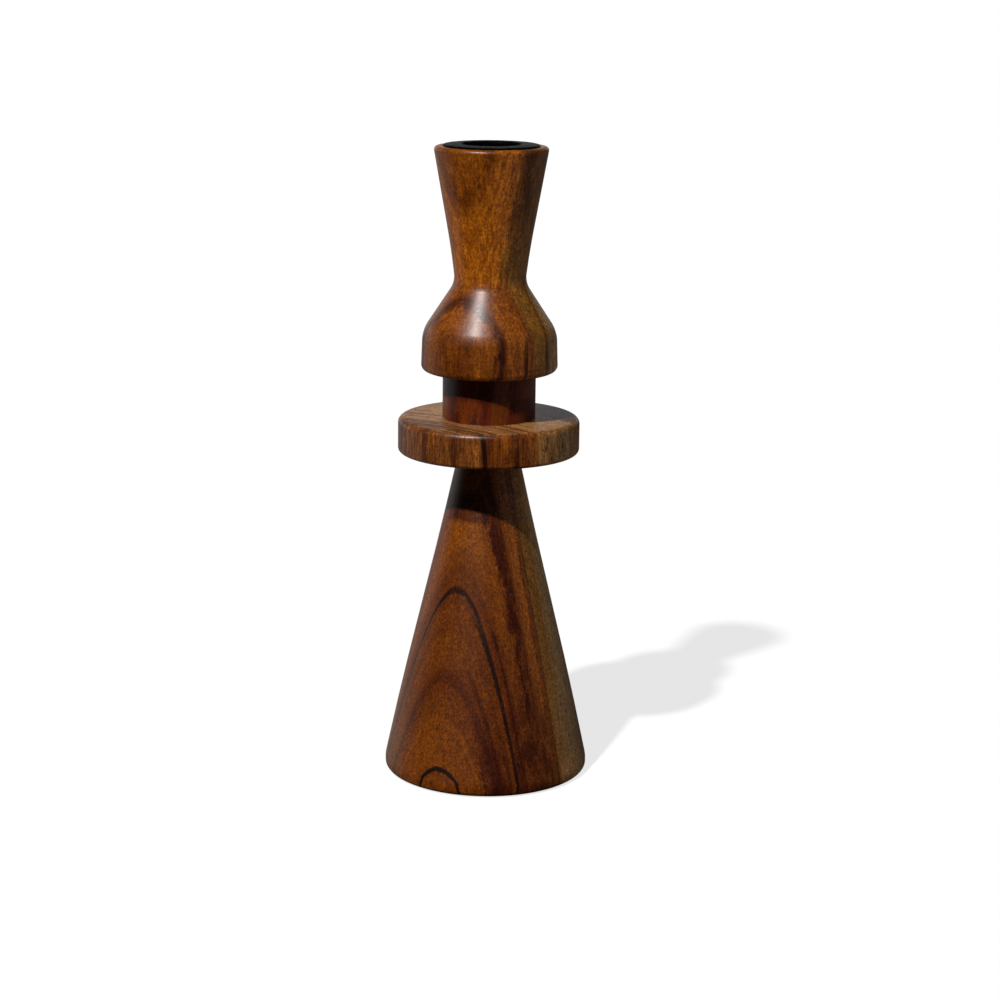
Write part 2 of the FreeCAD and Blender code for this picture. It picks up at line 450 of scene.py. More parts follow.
def growth_layer_group():
    """How deep a point lies in the tree's growth layers, and how far across them, in millimetres."""
    tree, s, given, out = new_group(
        "Growth Layer",
        [("Position", "Vector", None), ("Turn", "Float", 0.0), ("Lean", "Float", 0.0), ("Bow", "Float", 0.0),
         ("Shift", "Float", 0.0)],
        [("Layer", "Float"), ("Across", "Float"), ("Height", "Float")])
    turned = s.node("ShaderNodeVectorRotate", {"Vector": given["Position"], "Angle": given["Turn"]},
                    rotation_type="Z_AXIS").outputs[0]
    parts = s.node("ShaderNodeSeparateXYZ", {0: turned}).outputs
    leaning = s.math("MULTIPLY_ADD", parts[2], given["Lean"], parts[0])
    bowed = s.math("MULTIPLY_ADD", s.math("MULTIPLY", parts[1], parts[1]), given["Bow"], leaning)
    s.set(out["Layer"], s.math("ADD", bowed, given["Shift"]))
    s.set(out["Across"], parts[1])
    s.set(out["Height"], parts[2])
    return tree


def growth_band_group():
    """A band of layers between two depths, each with its own soft edge, broken up along the fibres."""
    tree, s, given, out = new_group(
        "Growth Band",
        [("Layer", "Float", 0.0), ("Low", "Float", 0.0), ("Low Edge", "Float", 0.2), ("High", "Float", 0.0),
         ("High Edge", "Float", 0.2), ("Fibre", "Float", 0.5), ("Broken", "Float", 0.3)],
        [("Mask", "Float")])
    below = s.fade(given["Layer"], s.math("SUBTRACT", given["Low"], given["Low Edge"]), given["Low"])
    above = s.fade(given["Layer"], s.math("ADD", given["High"], given["High Edge"]), given["High"])
    gaps = s.math("MULTIPLY", s.fade(given["Fibre"], *FIBRE_GAP), given["Broken"])
    kept = s.math("SUBTRACT", 1.0, gaps)
    s.set(out["Mask"], s.math("MULTIPLY", s.math("MULTIPLY", below, above), kept, clamp=True))
    return tree


def wood_fibre_group():
    """Fine fibres along the grain, and the short open pores among them."""
    tree, s, given, out = new_group(
        "Wood Fibre",
        [("Position", "Vector", None), ("Pore Amount", "Float", 0.5), ("Seed", "Float", 0.0)],
        [("Fibre", "Float"), ("Mottle", "Float"), ("Pore", "Float"), ("Speckle", "Float"), ("Fleck", "Float")])
    seeded = s.add_seed(given["Position"], given["Seed"])
    fibre = s.noise(s.stretch(seeded, GRAIN["fibre"]), detail=3.0, roughness=0.6)
    mottle = s.noise(s.stretch(seeded, GRAIN["mottle"]), detail=3.0, roughness=0.62)
    speckle = s.noise(s.stretch(seeded, GRAIN["speckle"]), detail=3.0, roughness=0.7)
    fleck = s.noise(s.stretch(seeded, GRAIN["fleck"]), roughness=0.6)
    bend = s.node("ShaderNodeTexNoise", {"Vector": s.stretch(seeded, GRAIN["pore_bend"]), "Scale": 1.0},
                  noise_dimensions="3D").outputs["Color"]
    bent = s.node("ShaderNodeVectorMath", {0: s.stretch(seeded, GRAIN["pore"]), 1: bend}, operation="ADD").outputs[0]
    cells = s.node("ShaderNodeTexVoronoi", {"Vector": bent, "Scale": 1.0},
                   voronoi_dimensions="3D", feature="F1")
    chance = s.node("ShaderNodeSeparateColor", {0: cells.outputs["Color"]}).outputs[0]
    chosen = s.math("LESS_THAN", chance, given["Pore Amount"])
    width = s.fade(cells.outputs["Distance"], *PORE_EDGE)
    s.set(out["Fibre"], fibre)
    s.set(out["Mottle"], mottle)
    s.set(out["Pore"], s.math("MULTIPLY", chosen, width))
    s.set(out["Speckle"], speckle)
    s.set(out["Fleck"], s.fade(fleck, *FLECK_EDGE))
    return tree


def turning_mark_group():
    """Faint rings that the turning and sanding leave round the axis."""
    tree, s, given, out = new_group("Turning Marks", [("Position", "Vector", None)], [("Height", "Float")])
    parts = s.node("ShaderNodeSeparateXYZ", {0: given["Position"]}).outputs
    flat = s.node("ShaderNodeCombineXYZ", {0: parts[0], 1: parts[1]}).outputs[0]
    radius = s.node("ShaderNodeVectorMath", {0: flat}, operation="LENGTH").outputs["Value"]
    section = s.node("ShaderNodeCombineXYZ", {0: radius, 1: parts[2]}).outputs[0]
    s.set(out["Height"], s.noise(section, scale=1.1, detail=3.0, roughness=0.7))
    return tree


def fresh_shading(owner):
    """A builder for the nodes of a new material or world."""
    owner.use_nodes = True
    owner.node_tree.nodes.clear()
    return Shading(owner.node_tree)


def bare_material(name):
    """A new material with one Principled shader, its builder, and a position in millimetres."""
    material = bpy.data.materials.new(name)
    s = fresh_shading(material)
    shader = s.node("ShaderNodeBsdfPrincipled")
    s.node("ShaderNodeOutputMaterial", {0: shader.outputs[0]})
    place = s.node("ShaderNodeTexCoord").outputs["Object"]
    position = s.node("ShaderNodeMapping", {"Vector": place, "Scale": (1 / MM, 1 / MM, 1 / MM)}).outputs[0]
    return material, s, shader, position


def add_bump(s, shader, relief, strength, depth):
    """Relief on the surface, with its depth in millimetres."""
    bump = s.node("ShaderNodeBump", {"Strength": strength, "Distance": depth * MM, "Height": relief})
    s.set(shader.inputs["Normal"], bump.outputs[0])


def groups():
    """The shared node groups, built once."""
    if "Growth Layer" not in bpy.data.node_groups:
        grain_wander_group()
        growth_layer_group()
        growth_band_group()
        wood_fibre_group()
        turning_mark_group()
    return bpy.data.node_groups


def hardwood(name, figure):
    """Oiled hardwood with the growth figure of one turning."""
    shared = groups()
    colours = bpy.context.scene.candle_wood
    material, s, shader, position = bare_material(name)
    seed = figure["seed"]
    shift = s.group(shared["Grain Wander"], Position=position, Amount=figure["wander"], Seed=seed)[0]
    fibre = s.group(shared["Wood Fibre"], Position=position, Pore_Amount=figure["pores"], Seed=seed)

    def layers(view):
        return s.group(shared["Growth Layer"], Position=position, Turn=math.radians(90 - view["side"]),
                       Lean=view["lean"], Bow=view["bow"], Shift=shift)

    stray = s.math("MULTIPLY_ADD", s.math("SUBTRACT", fibre["Speckle"], 0.5), STRAY_SPECKLE,
                   s.math("SUBTRACT", fibre["Mottle"], 0.5))

    def ragged(depth, amount):
        return s.math("MULTIPLY_ADD", stray, amount, depth)

    main = layers(figure)
    stops = [(place, getattr(colours, tint)[:]) for place, tint in figure["ramp"]]
    wood = s.ramp(ragged(main["Layer"], figure["ragged"]), stops)
    for mark in figure["marks"]:
        own = layers({**figure, **mark}) if "lean" in mark else main
        mask = s.group(shared["Growth Band"], Layer=ragged(own["Layer"], mark.get("ragged", 0.3)),
                       Low=mark["low"][0], Low_Edge=mark["low"][1], High=mark["high"][0], High_Edge=mark["high"][1],
                       Fibre=fibre["Mottle"], Broken=mark.get("broken", 0.2))["Mask"]
        for limit in ("Across", "Height"):
            for start, full in mark.get(limit.lower(), ()):
                mask = s.math("MULTIPLY", mask, s.fade(own[limit], start, full))
        wood = s.mix(s.math("MULTIPLY", mask, mark["amount"]), wood, getattr(colours, mark["tint"])[:])
    rings = s.group(shared["Turning Marks"], Position=position)["Height"]
    year = s.noise_line(s.math("ADD", main["Layer"], seed), scale=0.9, roughness=0.7)
    tone = 1.0
    for pattern, strength in ((fibre["Fibre"], figure["fibres"]), (fibre["Mottle"], figure["mottle"]),
                              (fibre["Speckle"], figure["speckle"]), (year, figure["years"]), (rings, RING_TONE)):
        tone = s.math("MULTIPLY", tone, s.fade(pattern, *NOISE_SPREAD, 1 - strength, 1 + strength))
    reddish = s.node("ShaderNodeCombineColor", {0: tone, 1: s.math("POWER", tone, GREEN_POWER),
                                                2: s.math("POWER", tone, BLUE_POWER)}).outputs[0]
    wood = s.mix(1.0, wood, reddish, "MULTIPLY")
    facing = s.node("ShaderNodeSeparateXYZ", {0: s.node("ShaderNodeTexCoord").outputs["Normal"]}).outputs[2]
    end_grain = s.fade(s.math("ABSOLUTE", facing), *END_GRAIN_FACING)
    dashes = s.math("MULTIPLY_ADD", end_grain, -END_GRAIN_DASH_LOSS, 1.0)
    wood = s.mix(s.product(fibre["Fleck"], dashes, figure["flecks"]), wood, colours.umber[:])
    wood = s.mix(s.product(fibre["Pore"], dashes, figure["pore_depth"]), wood, colours.pore[:])
    s.set(shader.inputs["Base Color"], wood)
    rough = s.math("MULTIPLY_ADD", fibre["Fibre"], FIBRE_ROUGHNESS, WOOD_ROUGHNESS)
    rough = s.math("MULTIPLY_ADD", end_grain, END_ROUGHNESS, rough)
    s.set(shader.inputs["Roughness"], s.math("MULTIPLY_ADD", fibre["Pore"], PORE_ROUGHNESS, rough))
    shader.inputs["Specular IOR Level"].default_value = WOOD_SPECULAR
    relief = s.math("MULTIPLY_ADD", fibre["Fibre"], FIBRE_RELIEF, s.math("SUBTRACT", rings, fibre["Pore"]))
    add_bump(s, shader, relief, strength=0.6, depth=0.06)
    return material


def mark(tint, amount, low, high=None, **limits):
    """A dark or light band of one tint between two depths, each given as (place, softness)."""
    return {"tint": tint, "amount": amount, "low": low, "high": high or low, **limits}


# Heights between which a mark fades in on the collar's top face, and down the bell's skirt
TOP_FACE = [(145.6, 146.1)]
BELL_SKIRT = [(184, 180)]

# The growth figure of each turning. Depths and heights are in millimetres.
# side says which way the layers face, in degrees from the viewer's side, and is negative to the left.
# lean is how fast the layers lean with height, and bow is how much they curve.
# ramp gives the colour at each depth. A mark lies on top of it, and across and height say where it fades in.
FIGURES = {
    "foot_cone": {
        "side": -29.5, "lean": 0.05, "bow": 0.0006, "seed": 3, "wander": 0.12, "ragged": 1.9, "pores": 0.30,
        "pore_depth": 0.45, "fibres": 0.10, "mottle": 0.16, "years": 0.14, "speckle": 0.55, "flecks": 0.16,
        "ramp": [(-44, "russet"), (-37, "amber"), (-31, "sienna"), (-24, "honey"), (-17, "amber"), (-11, "olive"),
                 (-5, "taupe"), (1.8, "taupe"), (6.5, "olive"), (10, "olive"), (12.4, "sienna"), (13.6, "honey"),
                 (15.6, "honey"), (17, "amber"), (20.6, "amber"), (22, "honey"), (23.8, "honey"), (25.4, "amber"),
                 (27.4, "sienna"), (28.4, "sienna"), (29.2, "amber"), (30.2, "sienna"), (31.3, "amber"),
                 (32.6, "amber"), (33.4, "sienna"), (34.4, "russet"), (35.4, "sienna"), (36.4, "amber"),
                 (46, "amber")],
        "marks": [
            mark("russet", 0.5, (21, 2), (35, 2), across=[(3, 14)]),
            mark("russet", 0.35, (20.6, 0.8), (27.4, 0.8), height=[(66, 50)], across=[(3, 10)]),
            mark("taupe", 0.4, (1, 2), (8.5, 2), height=[(60, 20)]),
            mark("honey", 0.25, (37, 1), (39.5, 1), across=[(4, -4)]),
            # Painted light: a paler band low on the foot's right side, where its lower edge catches light
            mark("tan", 0.6, (-4, 4), (9, 1.5), height=[(14, 5)]),
            mark("taupe", 0.22, (0, 2), (40, 2), across=[(-15, -22)], height=[(45, 15)], broken=0.4),
            mark("umber", 0.74, (13.8, 0.8), (26, 1.5), height=[(50, 16)], across=[(12, 20)], ragged=3,
                 broken=0.55),
            mark("umber", 0.75, (30, 0.5), (34.4, 0.6), height=[(36, 14)], across=[(8, 14)], ragged=1.5, broken=0.4),
            mark("umber", 0.6, (26.8, 0.4), (28, 0.3), height=[(34, 14)], across=[(8, 14)], broken=0.3),
            mark("umber", 0.95, (17.9, 0.7), (20.3, 1.1), height=[(18, 40)], across=[(2, 8)], ragged=4, broken=0.5),
            mark("umber", 0.6, (11.2, 0.3), (11.4, 0.3), across=[(2, 8)], broken=0.7),
            mark("umber", 0.85, (25.8, 0.5), (26.2, 0.3), across=[(8, 14)], height=[(74, 60)], broken=0.4),
            mark("umber", 0.8, (32.4, 0.2), (32.7, 0.7), across=[(6, 12)], broken=0.3),
            mark("umber", 0.8, (33.3, 0.6), (35.9, 0.8), across=[(15, 18)], height=[(25, 14)], ragged=1.5),
            # Painted shade: darkens the foot where the collar's shadow falls on it
            mark("umber", 0.85, (20.3, 0.7), (25, 0.6), height=[(105, 107.5), (121, 116)]),
            mark("line", 0.9, (27.66, 0.25), (27.94, 0.25), across=[(14, 8)], ragged=0.45, broken=0.15),
            mark("line", 0.92, (28, 0.4), (28.55, 0.4), across=[(6, 13)], ragged=0.6, broken=0.1),
            mark("line", 0.97, (40.42, 0.12), (40.62, 0.12), lean=0.06, bow=0, side=-27, height=[(5.2, 5.8)],
                 ragged=0.1, broken=0),
            mark("line", 0.97, (8.7, 0.3), (9.7, 0.3), lean=0.3, bow=0, side=63, height=[(6, 5.4)],
                 ragged=0.4, broken=0),
            mark("line", 0.97, (-9.7, 0.3), (-8.7, 0.3), lean=-0.3, bow=0, side=63, height=[(6, 5.4)],
                 ragged=0.4, broken=0),
        ],
    },
    "collar_disc": {
        "side": -37, "lean": -0.06, "bow": -0.004, "seed": 11, "wander": 0.12, "ragged": 1.6, "pores": 0.60,
        "pore_depth": 0.8, "fibres": 0.42, "mottle": 0.26, "years": 0.12, "speckle": 0.34, "flecks": 0.5,
        "ramp": [(-50, "amber"), (-40, "russet"), (-33, "amber"), (-25, "olive"), (-15, "taupe"), (-8, "olive"),
                 (-1, "olive"), (2, "honey"), (6, "amber"), (8, "honey"), (10, "amber"), (12, "honey"), (14, "honey"),
                 (16, "amber"), (18, "sienna"), (20, "sienna"), (22.6, "honey"), (25, "amber"), (36, "amber")],
        "marks": [
            mark("line", 0.95, (19.3, 0.4), (20.2, 0.4), broken=0.1),
            mark("umber", 0.6, (21.6, 0.3), (21.7, 0.4), broken=0.5),
            mark("umber", 0.6, (17.6, 0.3), (17.7, 0.4), across=[(14, 6)], broken=0.5),
            mark("umber", 0.5, (15.4, 0.3), (15.6, 0.4), across=[(14, 6)], broken=0.5),
            mark("umber", 0.85, (8.6, 0.8), (9.8, 1.2), ragged=2.5, broken=0.7),
            mark("umber", 0.5, (0.4, 0.4), (0.6, 0.4), ragged=2.5, broken=0.7),
            mark("umber", 0.5, (-5.4, 0.4), (-5.2, 0.4), ragged=2.5, broken=0.7),
            mark("tan", 0.12, (22, 2), (40, 2)),
            *(mark("umber", 0.65, (20, 1), (30, 1), across=across, broken=broken) for across, broken in (
                ([(-7, -5), (-2, -4)], 0.4), ([(7.5, 8.8), (11.5, 9.8)], 0.4), ([(-18, -17), (-15, -16)], 0.3))),
            mark("umber", 0.15, (7, 1), (17, 1), ragged=4, broken=0.85),
            mark("tan", 0.4, (-9, 2), (-1, 2), ragged=2),
            mark("umber", 0.15, (-30, 1), (-6, 2), ragged=4, broken=0.85),
            mark("tan", 0.55, (-24, 2), (40, 2), height=TOP_FACE),
            mark("tan", 0.9, (-8, 8), (12, 1), height=TOP_FACE, across=[(-6, -14)], ragged=2.5, broken=0.2),
            mark("russet", 0.6, (-4.6, 0.4), (-3.6, 0.5), height=TOP_FACE, ragged=0.9, broken=0.4),
            mark("russet", 0.75, (1.4, 0.4), (3, 0.5), height=TOP_FACE, ragged=0.9, broken=0.2),
            mark("umber", 0.7, (6.5, 0.3), (7.3, 0.4), height=TOP_FACE, ragged=0.9, broken=0.3),
            mark("umber", 0.9, (12.8, 0.3), (13.8, 0.3), height=TOP_FACE, across=[(6, -4)], ragged=0.7),
            mark("russet", 0.8, (15, 0.4), (16.4, 0.4), height=TOP_FACE, ragged=0.7),
            mark("umber", 0.9, (18.6, 0.3), (19.6, 0.3), height=TOP_FACE, ragged=0.5),
            mark("russet", 0.8, (20.6, 0.4), (23, 0.5), height=TOP_FACE, ragged=0.9, broken=0.5),
            mark("umber", 0.8, (24.8, 0.3), (25.3, 0.3), height=TOP_FACE, ragged=0.5),
            # Painted shade: darkens the back right of the collar's top, where the bell's shadow falls
            mark("umber", 0.75, (-50, 2), (-24, 2), height=TOP_FACE, across=[(0, 8)], ragged=3, broken=0.4),
        ],
    },
    "neck_drum": {
        "side": -29.5, "lean": 0.05, "bow": 0.0006, "seed": 21, "wander": 0.2, "ragged": 2.5, "pores": 0.35,
        "pore_depth": 0.6, "fibres": 0.22, "mottle": 0.22, "years": 0.10, "speckle": 0.22, "flecks": 0.25,
        # The russet at low depths, at the neck's right and back, is partly the wood's red-brown and partly painted
        # shade
        "ramp": [(-14, "russet"), (-4, "russet"), (4, "russet"), (12, "garnet"), (19, "garnet"), (22, "russet"),
                 (24, "garnet"), (28, "amber")],
        "marks": [
            mark("umber", 0.7, (24.4, 0.6), (25.2, 0.6), ragged=3, broken=0.5),
            mark("amber", 0.8, (19, 0.8), (22.8, 0.8), ragged=1.6, broken=0.3),
            # Painted shade: the next four umber marks darken the neck under the bell's shadow and down its shaded
            # right side
            mark("umber", 0.8, (23.6, 0.8), (30, 1), height=[(154, 156.5)]),
            mark("umber", 0.7, (7, 1), (17.5, 1), height=[(149.5, 151), (157, 154)]),
            mark("umber", 0.55, (-6, 2), (11.5, 1.5), across=[(2, 8)], height=[(157, 154)]),
            mark("umber", 0.3, (9, 1), (25, 1), height=[(153.5, 156)]),
            mark("amber", 0.6, (2, 3), (24, 2), across=[(-12, -17)]),
        ],
    },
    "bell_stem": {
        "side": -33.5, "lean": 0.05, "bow": 0, "seed": 31, "wander": 0.15, "ragged": 1.6, "pores": 0,
        "pore_depth": 0.7, "fibres": 0.22, "mottle": 0.26, "years": 0.14, "speckle": 0.50, "flecks": 0.40,
        "ramp": [(-20, "russet"), (-13, "amber"), (-6, "olive"), (0, "taupe"), (6, "taupe"), (8, "drab"),
                 (10, "olive"), (15, "olive"), (18, "amber"), (20, "honey"), (40, "honey")],
        "marks": [
            mark("amber", 0.9, (34, 1.5), (42, 1), height=[(186, 180)]),
            mark("sienna", 0.6, (34.6, 1.2), (42, 1), height=[(183, 179)]),
            # Partly painted highlight: gold lightens the waist where a highlight falls, and carries the wood's gold
            # tone up the taper
            mark("gold", 0.75, (20.6, 1.4), (28.6, 1.2), height=[(199, 205)]),
            mark("gold", 0.9, (18.6, 1.4), (32, 1), height=[(199, 204), (236, 216)]),
            mark("russet", 0.12, (15.5, 1.5), (32, 1), height=[(204, 214)], ragged=3, broken=0.85),
            mark("drab", 0.9, (0, 8), (13.4, 0.8), lean=0.02, side=-34, height=[(214, 228)], ragged=1.2),
            mark("olive", 0.9, (0, 8), (13.4, 0.8), lean=0.02, side=-34, height=[(199, 204), (228, 214)],
                 ragged=1.2),
            mark("umber", 0.8, (36.4, 1.4), (38.2, 0.6), lean=0.1, height=[(200, 197)], ragged=1.4, broken=0.35),
            mark("line", 0.8, (28, 0.6), (28.6, 0.6), height=BELL_SKIRT, broken=0.25, ragged=0.8),
            mark("umber", 0.75, (26.4, 0.7), (28, 0.5), height=BELL_SKIRT, across=[(4, 8)], broken=0.5),
            mark("umber", 0.8, (19.2, 0.4), (20.3, 0.4), height=[(183, 178)], across=[(4, 8)], broken=0.3),
            mark("umber", 0.6, (8.6, 0.6), (9.2, 0.6), height=BELL_SKIRT, across=[(4, 8)], broken=0.3),
            mark("umber", 0.3, (30.9, 0.4), (31.5, 0.4), height=[(220, 228)], ragged=2.5, broken=0.9),
            mark("umber", 0.3, (12, 1.5), (20, 1.5), height=[(222, 240)], ragged=2, broken=0.6),
        ],
    },
}


def turned_wood_piece(name, corners, closed=False):
    """A wooden turning in place of the CAD node of the same name."""
    mesh = turned_mesh(name + "_turned", corners, closed)
    add_piece(name + "_turned", mesh, hardwood(name + "_wood", FIGURES[name]), "hardwood", name)


class CANDLE_OT_foot(Operator):
    """Builds the conical foot"""

    bl_idname = "candle.foot"
    bl_label = "Foot"

    def execute(self, context):
        z = context.scene.candle_turning

        def flank(share, offset):
            """A point near the straight line of the cone, moved out by offset."""
            return (FOOT_RADIUS + (z.foot_top - FOOT_RADIUS) * share + offset,
                    z.foot_band + (FOOT_TOP - z.foot_band) * share, z.flank_sweep)

        recess = FELT_RADIUS + z.recess_gap
        socket_end = DOWEL_LOW - z.socket_end_gap
        turned_wood_piece("foot_cone", [
            (0, FELT_TOP),
            (recess, FELT_TOP),
            (recess, FOOT_LOW),
            (FOOT_RADIUS, FOOT_LOW, z.foot_edge_round),
            (FOOT_RADIUS, z.foot_band, z.foot_band_round),
            flank(SWELL_SHARE, z.flank_swell),
            flank(HOLLOW_SHARE, -z.flank_hollow),
            (z.foot_top, FOOT_TOP),
            (z.socket_radius, FOOT_TOP),
            (z.socket_radius, socket_end),
            (0, socket_end),
        ])
        return {"FINISHED"}


class CANDLE_OT_collar(Operator):
    """Builds the round collar"""

    bl_idname = "candle.collar"
    bl_label = "Collar"

    def execute(self, context):
        z = context.scene.candle_turning
        turned_wood_piece("collar_disc", [
            (z.socket_radius, COLLAR_LOW),
            (COLLAR_RADIUS, COLLAR_LOW, z.collar_lower_round),
            (COLLAR_RADIUS, COLLAR_TOP, z.collar_upper_round),
            (z.socket_radius, COLLAR_TOP),
        ], closed=True)
        return {"FINISHED"}


class CANDLE_OT_neck(Operator):
    """Builds the plain neck"""

    bl_idname = "candle.neck"
    bl_label = "Neck"

    def execute(self, context):
        z = context.scene.candle_turning
        turned_wood_piece("neck_drum", [
            (z.socket_radius, NECK_LOW),
            (NECK_RADIUS, NECK_LOW),
            (NECK_RADIUS, NECK_TOP),
            (z.socket_radius, NECK_TOP),
        ], closed=True)
        return {"FINISHED"}


class CANDLE_OT_bell(Operator):
    """Builds the bell and its taper"""

    bl_idname = "candle.bell"
    bl_label = "Bell and Taper"

    def execute(self, context):
        z = context.scene.candle_turning
        cup = context.scene.candle_cup
        seat = cup.bore + cup.sheet + cup.seat_gap
        seat_floor = CUP_TOP - cup.depth - cup.sheet - cup.floor_gap
        socket_end = DOWEL_TOP + z.socket_end_gap
        turned_wood_piece("bell_stem", [
            (0, socket_end),
            (z.socket_radius, socket_end),
            (z.socket_radius, BELL_LOW),
            (BELL_RADIUS, BELL_LOW, z.bell_edge_round),
            (z.bell_shoulder, BELL_LOW + z.bell_skirt, z.bell_shoulder_round),
            (z.waist, BELL_LOW + z.waist_height, z.waist_round),
            (z.flare, BELL_LOW + z.flare_height, z.flare_sweep),
            (z.rim, WOOD_TOP, z.rim_round),
            (seat + cup.seat_bevel, WOOD_TOP),
            (seat, WOOD_TOP - cup.seat_bevel),
            (seat, seat_floor),
            (0, seat_floor),
        ])
        return {"FINISHED"}


class CANDLE_OT_cup(Operator):
    """Builds the black metal cup and finishes its screw"""

    bl_idname = "candle.cup"
    bl_label = "Cup and Screw"

    def execute(self, context):
        cup = context.scene.candle_cup
        floor = CUP_TOP - cup.depth
        wall = cup.bore + cup.sheet
        mesh = turned_mesh("candle_cup_pressed", [
            (cup.hole, floor - cup.dimple_depth),
            (cup.dimple, floor),
            (cup.bore, floor, cup.floor_round),
            (cup.bore, CUP_TOP, cup.lip_round),
            (cup.crown, CUP_TOP, cup.crown_round),
            (FLANGE_RADIUS - cup.edge_slope, CUP_TOP - cup.flange_fall, cup.edge_round),
            (FLANGE_RADIUS, WOOD_TOP + cup.edge_height, cup.edge_round),
            (FLANGE_RADIUS, WOOD_TOP),
            (wall, WOOD_TOP),
            (wall, floor - cup.sheet, cup.floor_round + cup.sheet),
            (cup.dimple + cup.sheet / 2, floor - cup.sheet),
            (cup.hole, floor - cup.dimple_depth - cup.sheet),
        ], closed=True)
        add_piece("candle_cup_pressed", mesh, black_metal(), "black_metal", "candle_cup")
        paint_node("cup_screw", screw_steel())
        return {"FINISHED"}


class CANDLE_OT_dowel(Operator):
    """Finishes the dowel inside the turnings"""

    bl_idname = "candle.dowel"
    bl_label = "Dowel"

    def execute(self, context):
        paint_node("centre_dowel", dowel_wood())
        return {"FINISHED"}


class CANDLE_OT_felt(Operator):
    """Builds the felt disc under the foot"""

    bl_idname = "candle.felt"
    bl_label = "Felt"

    def execute(self, context):
        mesh = turned_mesh("base_felt_disc", [
            (0, FELT_LOW),
            (FELT_RADIUS, FELT_LOW, context.scene.candle_turning.felt_edge_round),
            (FELT_RADIUS, FELT_TOP),
            (0, FELT_TOP),
        ])
        felt = add_piece("base_felt_disc", mesh, felt_cloth(), "felt", "base_felt")
        return {"FINISHED"}


def black_metal():
    """Dull black enamel on pressed metal, with a little dust."""
    material, s, shader, position = bare_material("black_metal")
    cloud = s.noise(position, scale=0.25, detail=3.0)
    grit = s.noise(position, scale=3.0)
    dust = s.math("MULTIPLY", s.fade(grit, 0.58, 0.75), s.fade(cloud, 0.4, 0.7, 0.0, 0.12))
    s.set(shader.inputs["Base Color"], s.mix(dust, ENAMEL, DUST))
    s.set(shader.inputs["Roughness"], s.math("MULTIPLY_ADD", cloud, 0.2, s.math("MULTIPLY_ADD", dust, 0.2, 0.32)))
    shader.inputs["Specular IOR Level"].default_value = ENAMEL_SPECULAR
    add_bump(s, shader, grit, strength=0.15, depth=0.03)
    return material


def screw_steel():
    """Plain steel with a dull zinc skin."""
    material, s, shader, position = bare_material("screw_steel")
    cloud = s.noise(position, scale=1.2, detail=4.0)
    s.set(shader.inputs["Base Color"], s.mix(cloud, ZINC_DARK, ZINC_LIGHT))
    s.set(shader.inputs["Roughness"], s.fade(cloud, 0.3, 0.7, 0.28, 0.5))
    shader.inputs["Metallic"].default_value = 1.0
    return material


def dowel_wood():
    """Bare pale wood with fine grain along the dowel."""
    material, s, shader, position = bare_material("dowel_wood")
    fibre = s.group(groups()["Wood Fibre"], Position=position, Pore_Amount=0.5, Seed=40.0)
    base = s.mix(fibre["Fibre"], DOWEL_DARK, DOWEL_LIGHT)
    s.set(shader.inputs["Base Color"], s.mix(s.math("MULTIPLY", fibre["Pore"], 0.5), base, DOWEL_PORE))
    s.set(shader.inputs["Roughness"], s.math("MULTIPLY_ADD", fibre["Fibre"], 0.2, 0.55))
    add_bump(s, shader, fibre["Fibre"], strength=0.4, depth=0.08)
    return material


def felt_cloth():
    """Dense dark wool felt."""
    material, s, shader, position = bare_material("felt")
    wool = s.noise(position, scale=1.8, detail=5.0, roughness=0.75, distortion=1.5)
    cloud = s.noise(position, scale=0.12)
    base = s.mix(wool, FELT_DARK, FELT_LIGHT)
    s.set(shader.inputs["Base Color"], s.mix(s.fade(cloud, 0.4, 0.7, 0.0, 0.4), base, FELT_CLOUD))
    s.set(shader.inputs["Roughness"], s.fade(wool, 0.3, 0.7, 0.85, 1.0))
    shader.inputs["Sheen Weight"].default_value = 0.35
    shader.inputs["Sheen Roughness"].default_value = 0.6
    add_bump(s, shader, wool, strength=0.8, depth=0.15)
    return material


# Stage


def build_world(context, settings):
    """A low white backdrop behind the stand, in a dim room."""
    world = bpy.data.worlds.new("studio")
    context.scene.world = world
    s = fresh_shading(world)
    path = s.node("ShaderNodeLightPath").outputs
    way = s.node("ShaderNodeSeparateXYZ", {0: s.node("ShaderNodeTexCoord").outputs["Generated"]}).outputs
    fill = s.fade(way[1], *BACK_WALL, settings.room_front, settings.room_back)
    fill = s.math("MAXIMUM", fill, s.fade(way[0], *RIGHT_WALL, 0.0, settings.room_right))
    leftward = s.math("MULTIPLY_ADD", way[0], BACKDROP_LEFTWARD, way[1])
    backdrop = s.product(s.fade(leftward, *BACKDROP_SIDE, 0.0, settings.backdrop), s.fade(way[2], *BACKDROP_HEIGHT))
    shine = s.math("MAXIMUM", backdrop, settings.room_front)
    room = s.node("ShaderNodeMix", {0: s.mirrored(path), 2: fill, 3: shine}, data_type="FLOAT").outputs[0]
    strength = s.math("MAXIMUM", path["Is Camera Ray"], room)
    sky = s.node("ShaderNodeBackground", {"Color": WHITE, "Strength": strength})
    s.node("ShaderNodeOutputWorld", {0: sky.outputs[0]})


